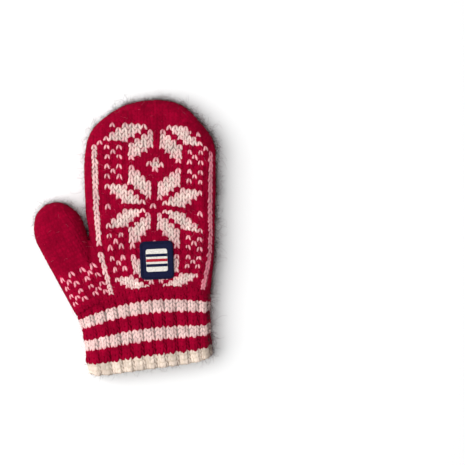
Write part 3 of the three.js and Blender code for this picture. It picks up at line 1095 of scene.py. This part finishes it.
def label_border():
    """Satin stitches that wrap the patch's edge."""
    width, height = LABEL_SIZE
    edge = rounded_outline(width - 1.6, height - 1.6, LABEL_CORNER - 0.5, 10)
    edge = resampled(closed(edge), SATIN_PITCH)[:-1]
    t = np.linspace(-1, 1, 6)
    plan = edge[:, None] - beside(edge)[:, None] * (t * 1.1)[None, :, None]
    z = LABEL_TOP + 0.25 - 0.75 * np.abs(t) ** 3
    paths = turned(raised(plan, np.broadcast_to(z, plan.shape[:2])))
    sizes = np.full(paths.shape[:2], 0.38)
    points, faces = tubes(paths, np.broadcast_to((0.0, 0.0, 1.0), paths.shape), sizes, sizes * 0.8, 5)
    return write_mesh("label_border", points, faces)


# Loose fibres

# The box that the fibres stay in, which is a little more than the mitten's own
BOX_MARGIN = 9.0
fibre_low = np.array(cad_box[0]) * 1000 - origin - BOX_MARGIN
fibre_low[2] = 0.25
fibre_high = np.array(cad_box[1]) * 1000 - origin + BOX_MARGIN


def fibre_tubes(roots, directions, lengths, curl, radius, steps):
    """Thin curling fibres from root points."""
    count = len(roots)
    step = lengths[:, None] / (steps - 1)
    heading = directions / np.linalg.norm(directions, axis=1, keepdims=True)
    swirl = random.normal(0, 1, (count, 3)) * curl
    paths = [roots]
    for _ in range(steps - 1):
        heading = unit(heading + np.cross(swirl, heading) + random.normal(0, curl * 0.5, (count, 3)))
        paths.append(paths[-1] + heading * step)
    paths = np.clip(np.stack(paths, axis=1), fibre_low, fibre_high)
    normals = random.normal(0, 1, (count, 1, 3)) * np.ones((1, steps, 1))
    sizes = radius[:, None] * np.linspace(1, 0.5, steps)
    return tubes(paths, normals, sizes, sizes, 3)


# Dark wine red, darker still, and a few grey fibres, with how much of the fuzz each takes. They are far
# darker than the yarns: partly painted shade, standing for the soft shadow round the outline
HALO_SHADE_COLOURS = [
    (0.045, 0.004, 0.008),
    (0.11, 0.006, 0.016),
    (0.09, 0.08, 0.08),
]
HALO_SHARES = [0.5, 0.32, 0.18]
# How many places on the hand, the thumb, the cuff's sides and its mouth are tried for a fibre
FUZZ_COUNTS = (5200, 3600, 400, 60)
# Each layer: share of those counts, lengths, curl, radii, points in a fibre, and how pale it is
FUZZ_LAYERS = [
    (0.9, (1.6, 5.0), 0.4, (0.05, 0.10), 3, 0.0),
    (1.8, (4.0, 10.0), 0.45, (0.04, 0.075), 5, 0.012),
    (0.14, (10.0, 24.0), 0.32, (0.05, 0.08), 14, 0.05),
]
# How deep in the cuff its fibres start, and between which angles from its top the half-round edge
# of the hand and thumb carries them
FUZZ_DEPTH = 0.5
FUZZ_ANGLES = (1.3, 2.3)
# How thick the fuzz is in one clump and the next, and how many half millimetres a clump takes
CLUMPS = (0.45, 1.35)
CLUMP_POINTS = 5
# The shaded direction, in which the outline is fuzziest: there the dark fuzz stands partly for painted
# shade
SHADED_SIDE = np.array([0.75, 0.66])


def hand_fuzz(outward):
    """How thick the fuzz is round the hand: most at the tip and right, the shaded side, where its dark
    fibres are partly painted shade.
    """
    return np.clip(0.6 + 0.7 * outward @ SHADED_SIDE, 0.18, 1)


def thumb_fuzz(outward):
    """The thumb is fuzzy at its tip and towards the hand, and nearly clean on its outer edge."""
    return np.clip(0.08 + 0.4 * outward[:, 1], 0, 0.42)


def edge_roots(outline, other, count, fuzz):
    """Random points on the half-round edge of an outline where it is free of the other outline,
    with outward directions."""
    line = resampled(closed(outline), 0.5)
    chosen = random.integers(0, len(line), count)
    root, normal = line[chosen], beside(line)[chosen]
    angle = random.uniform(*FUZZ_ANGLES, count)
    plan = root - normal * (HAND_HALF * (1 - np.sin(angle)))[:, None]
    clumps = random.uniform(*CLUMPS, len(line) // CLUMP_POINTS + 1)[chosen // CLUMP_POINTS]
    free = (to_outline(other, root)[0] < 0) & above_seam(root)
    kept = random.random(count) < free * fuzz(normal) * clumps
    tilt = raised(normal * np.sin(angle)[:, None], np.cos(angle))
    return raised(plan, HAND_HALF + HAND_HALF * np.cos(angle))[kept], tilt[kept]


def cuff_roots(count):
    """Points on the cuff's two edges, most of them on the right."""
    left = random.random(count) < 0.05
    turn = np.where(left, 0.25, 0.75) + random.uniform(-0.03, 0.03, count)
    return cuff_place(turn, random.uniform(0, 1, count), FUZZ_DEPTH)


def mouth_roots(count):
    """Points on the cuff's lower edge, with directions out of it."""
    points, normals = cuff_place(random.uniform(0, 1, count), 1.0, FUZZ_DEPTH)
    return points, 0.4 * normals - (0, 0.9, 0)


def halo_layer(share, lengths, curl, radii, steps, pale):
    """One layer of the halo, with its fibres' points, faces and colours."""
    hand, thumb, cuff, mouth = (int(count * share) for count in FUZZ_COUNTS)
    groups = [
        edge_roots(hand_outline, thumb_outline, hand, hand_fuzz),
        edge_roots(thumb_outline, hand_outline, thumb, thumb_fuzz),
        cuff_roots(cuff),
        mouth_roots(mouth),
    ]
    roots, tilts = (np.vstack(part) for part in zip(*groups))
    count = len(roots)
    directions = tilts + random.normal(0, 0.45, (count, 3)) - (0, 0, 0.25)
    sizes = random.uniform(*radii, count)
    reach = random.uniform(*lengths, count)
    points, faces = fibre_tubes(roots - tilts * 0.7, directions, reach, curl, sizes, steps)
    # The fibres' dark colours are partly painted shade round the outline
    colours = np.array(HALO_SHADE_COLOURS)[random.choice(len(HALO_SHADE_COLOURS), count, p=HALO_SHARES)] + pale
    return points, faces, np.repeat(colours, steps * 3, axis=0)


def make_halo():
    """The fuzzy halo round the outline: short dark fibres, whose darkness is partly painted shade, and a
    few long curling ones.
    """
    return write_mesh("halo_fibres_and_shade", *joined([halo_layer(*layer) for layer in FUZZ_LAYERS]))


# How many short fibres lie on the knitting, and the share of them that are long and pale
NAP_COUNT = 6500
LOOSE_SHARE = 0.02
NAP_RED = (0.37, 0.0048, 0.038)


def nap_roots(count):
    """Random points spread over the back of the hand and thumb, but not over the label."""
    low = np.minimum(hand_outline.min(0), thumb_outline.min(0))
    high = np.maximum(hand_outline.max(0), thumb_outline.max(0))
    plan = random.uniform(low, high, (count * 2, 2))
    from_label = np.abs(plan - (LABEL_ACROSS * half_hand, LABEL_RISE)) - np.array(LABEL_SIZE) / 2
    bare = (mitten_depth(plan) > 0.5) & above_seam(plan) & (from_label.max(1) > 1)
    return surface_at(plan[bare][:count], 1)


def make_nap():
    """Short fibres lying over the knitting, mostly in the red yarn and a few pale ones."""
    points, normals = nap_roots(NAP_COUNT)
    count = len(points)
    directions = random.normal(0, 1, (count, 3)) + normals * 0.3
    loose = random.random(count) < LOOSE_SHARE
    lengths = random.uniform(1.5, 3.6, count) * np.where(loose, 2, 1)
    radius = random.uniform(0.04, 0.07, count)
    steps = 3
    tube_points, faces = fibre_tubes(points + normals * 0.1, directions, lengths, 0.35, radius, steps)
    pale = under_patch(points, cream_patches(1, 0)) | loose
    colours = np.where(pale[:, None], YARNS["fringe"], NAP_RED)
    return write_mesh("nap_fibres", tube_points, faces, np.repeat(colours, steps * 3, axis=0))


# The pieces


def dress(piece, material, slot, *nodes):
    """Gives a piece its material and ties it to the frame."""
    piece.data.materials.append(material)
    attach(piece, "root")
    if nodes:
        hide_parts(*nodes)


def cuff_stitches():
    """Two columns of stitches on each rib of the cuff, in bands."""
    cells = [
        (rib + 0.5 + offset * RIB_COLUMN, row)
        for rib in range(RIBS)
        for row in range(-1, ROWS_PER_BAND * len(CUFF_BANDS))
        for offset in (-0.5, 0.5)
    ]
    ribs, rows = split(cells)
    yarns = np.array([CUFF_BANDS[max(row, 0) // ROWS_PER_BAND][1] for _, row in cells])
    cream, edge = yarns == "cream", yarns == "edge"
    first, last = rows % ROWS_PER_BAND == 0, rows % ROWS_PER_BAND == ROWS_PER_BAND - 1
    last &= rows < rows.max()
    red_last = last & ~(cream | edge)
    matted = np.where(red_last, CUFF_LAST_MATTED, [CUFF_MATTED[yarn] for yarn in yarns])
    fringe = np.column_stack([0.22 * cream, 0.75 * first * (cream | edge), 0.8 * last * cream])
    colours = np.array([YARNS[yarn] for yarn in yarns])
    looks = {"spread": RIB_COLUMN, "lift": CUFF_LIFT * red_last, "foot": CUFF_FOOT * last}
    return knitted(ribs, rows, colours, cuff_knit, matted, fringe, **looks)


def make_knitting(wool, thumb_wool):
    back = knit_cells(hand_cells(1), back_chart(), partial(hand_knit, 1))
    dress(write_mesh("stitches_back", *back), wool, "patterned_knit")
    palm = knit_cells(hand_cells(-1), palm_chart(), partial(hand_knit, -1))
    dress(write_mesh("stitches_palm", *palm), wool, "patterned_knit")
    bands = [knit_cells(band_cells(side), set(), partial(band_knit, side)) for side in (-1, 1)]
    dress(write_mesh("stitches_edge", *joined(bands)), wool, "patterned_knit")
    looks = {"rim": 1.3, "short": 1.15, "single_matted": 0.18}
    chart = gusset_chart()
    thumb = [knit_cells(thumb_cells(side), chart, partial(thumb_knit, side), **looks) for side in (1, -1)]
    dress(write_mesh("stitches_thumb", *joined(thumb)), thumb_wool, "thumb_knit")
    dress(write_mesh("stitches_cuff", *cuff_stitches()), wool, "rib_knit")


def make_mitten():
    wool = wool_material("wool")
    felt = wool_material("felt", bump=0.9, low=0.7, high=1.2)
    thumb_wool = wool_material("thumb_wool", THUMB_LEAN)
    thumb_felt = wool_material("thumb_felt", THUMB_LEAN, 0.9, 0.7, 1.2)
    hand_region, thumb_region = region_outlines()
    patches = np.vstack([cream_patches(side, 2) for side in (1, -1)])
    dress(lifted_shell(hand_region, "hand_wall", FELT_DEPTH, patches), felt, "patterned_knit", "hand")
    dress(lifted_shell(thumb_region, "thumb_wall", THUMB_FELT_DEPTH), thumb_felt, "thumb_knit", "thumb")
    dress(cuff_shell(), felt, "rib_knit", "cuff")
    make_knitting(wool, thumb_wool)
    for piece, material in make_label():
        dress(piece, material, "woven_label", *(["label"] if piece.name == "label_patch" else []))
    dress(make_halo(), wool, "patterned_knit")
    dress(make_nap(), wool, "patterned_knit")


# Floor, light and camera

# The point under the camera, and the width that the picture shows there
VIEW_POINT = (68.9, 48.3, 11.0)
VIEW_WIDTH = 390.6
CAMERA_DISTANCE = 1.6
# Each lamp's name, place, size and power
LAMPS = (("key", (-1.15, 0.0, 1.2), 1.7, 36.0), ("top", (0.1, 0.2, 1.9), 1.2, 5.0))


def make_floor():
    bpy.ops.mesh.primitive_plane_add(size=6, location=(0, 0, 0))
    floor = bpy.context.object
    floor.name = "floor"
    floor.data.materials.append(floor_material())


def make_lights():
    world = bpy.data.worlds.new("studio")
    bpy.context.scene.world = world
    world.use_nodes = True
    filled(world.node_tree.nodes["Background"], Color=(1, 1, 1, 1), Strength=0.5)
    for name, place, size, power in LAMPS:
        light = bpy.data.lights.new(name, "AREA")
        light.shape = "SQUARE"
        light.size = size
        light.energy = power
        lamp = placed(name, light)
        lamp.location = place
        lamp.rotation_euler = (-Vector(place)).to_track_quat("-Z", "Y").to_euler()


def make_camera():
    data = bpy.data.cameras.new("camera")
    data.sensor_width = 36
    data.lens = 36 * CAMERA_DISTANCE / (VIEW_WIDTH / 1000)
    camera = placed("camera", data)
    camera.location = Vector(to_frame(VIEW_POINT)) + Vector((0, 0, CAMERA_DISTANCE))
    bpy.context.scene.camera = camera


make_mitten()
make_floor()
make_lights()
make_camera()
bpy.context.scene.view_settings.view_transform = "Standard"
